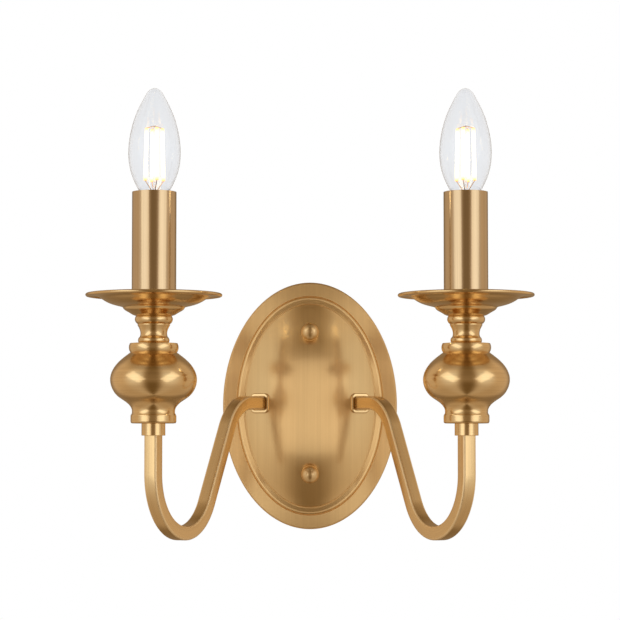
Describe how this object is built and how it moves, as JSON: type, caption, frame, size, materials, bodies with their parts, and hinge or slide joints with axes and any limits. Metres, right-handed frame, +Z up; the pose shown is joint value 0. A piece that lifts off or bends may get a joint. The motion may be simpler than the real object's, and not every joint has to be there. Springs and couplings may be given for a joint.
{
  "type": "double arm wall sconce",
  "caption": "Wall light with an oval domed backplate and bent square arms, each carrying a turned vase, drip pan, candle sleeve and candle bulb.",
  "frame": {"origin": "on the wall plane, midway between the two fixing slots of the wall bracket", "axes": "+X to the right as seen from the room, +Y into the wall, +Z up"},
  "size_m": [0.2968, 0.2035, 0.3008],
  "materials": {
    "plate_brass": "satin, brushed upright",
    "satin_brass": "satin, brushed along the bar",
    "turned_brass": "satin, turned",
    "sleeve_brass": "satin, brushed upright",
    "contact_brass": "bare",
    "zinc_steel": "zinc plated",
    "nickel_cap": "nickel plated",
    "solder": "dull",
    "holder_plastic": "moulded",
    "block_plastic": "moulded",
    "lead_sleeving": "extruded",
    "black_glass": "glossy",
    "clear_glass": "clear",
    "lit_filament": "glowing"
  },
  "bodies": {
    "root": {"backplate": "plate_brass", "top_knob_nut": "turned_brass", "bottom_knob_nut": "turned_brass", "wall_bracket": "zinc_steel", "bracket_studs": "zinc_steel", "stud_lock_nuts": "zinc_steel", "earth_screw": "zinc_steel", "terminal_block": "block_plastic", "terminal_tubes": "contact_brass", "terminal_screws": "zinc_steel", "left_arm": "satin_brass", "left_arm_collar": "satin_brass", "left_arm_tube": "zinc_steel", "left_arm_washer": "zinc_steel", "left_arm_nut": "zinc_steel", "left_ferrule": "satin_brass", "left_vase": "turned_brass", "left_neck": "turned_brass", "left_drip_pan": "turned_brass", "left_column_tube": "zinc_steel", "left_column_nut": "zinc_steel", "left_stirrup": "zinc_steel", "left_lampholder": "holder_plastic", "left_screw_shell": "contact_brass", "left_centre_contact": "contact_brass", "left_holder_screws": "zinc_steel", "left_candle_sleeve": "sleeve_brass", "left_leads": "lead_sleeving", "right_arm": "satin_brass", "right_arm_collar": "satin_brass", "right_arm_tube": "zinc_steel", "right_arm_washer": "zinc_steel", "right_arm_nut": "zinc_steel", "right_ferrule": "satin_brass", "right_vase": "turned_brass", "right_neck": "turned_brass", "right_drip_pan": "turned_brass", "right_column_tube": "zinc_steel", "right_column_nut": "zinc_steel", "right_stirrup": "zinc_steel", "right_lampholder": "holder_plastic", "right_screw_shell": "contact_brass", "right_centre_contact": "contact_brass", "right_holder_screws": "zinc_steel", "right_candle_sleeve": "sleeve_brass", "right_leads": "lead_sleeving"},
    "left_bulb_tip": {"left_bulb_contact": "solder"},
    "left_bulb": {"left_bulb_insulator": "black_glass", "left_bulb_cap": "nickel_cap", "left_bulb_glass": "clear_glass", "left_bulb_stem": "clear_glass", "left_bulb_filaments": "lit_filament", "left_bulb_wires": "nickel_cap"},
    "right_bulb_tip": {"right_bulb_contact": "solder"},
    "right_bulb": {"right_bulb_insulator": "black_glass", "right_bulb_cap": "nickel_cap", "right_bulb_glass": "clear_glass", "right_bulb_stem": "clear_glass", "right_bulb_filaments": "lit_filament", "right_bulb_wires": "nickel_cap"}
  },
  "joints": [
    {"name": "left_bulb_lift", "type": "slide", "parent": "root", "child": "left_bulb_tip", "axis": [0, 0, 1], "range_m": [0, 0.0142]},
    {"name": "left_bulb_turn", "type": "hinge", "parent": "left_bulb_tip", "child": "left_bulb", "pos_m": [-0.10323, -0.15829, 0.12], "axis": [0, 0, 1], "range_deg": [0, 1800]},
    {"name": "right_bulb_lift", "type": "slide", "parent": "root", "child": "right_bulb_tip", "axis": [0, 0, 1], "range_m": [0, 0.0142]},
    {"name": "right_bulb_turn", "type": "hinge", "parent": "right_bulb_tip", "child": "right_bulb", "pos_m": [0.10323, -0.15829, 0.12], "axis": [0, 0, 1], "range_deg": [0, 1800]}
  ],
  "couplings": [
    {"joint": "left_bulb_lift", "follows": "left_bulb_turn", "m_per_rad": 0.00044917},
    {"joint": "right_bulb_lift", "follows": "right_bulb_turn", "m_per_rad": 0.00044917}
  ]
}
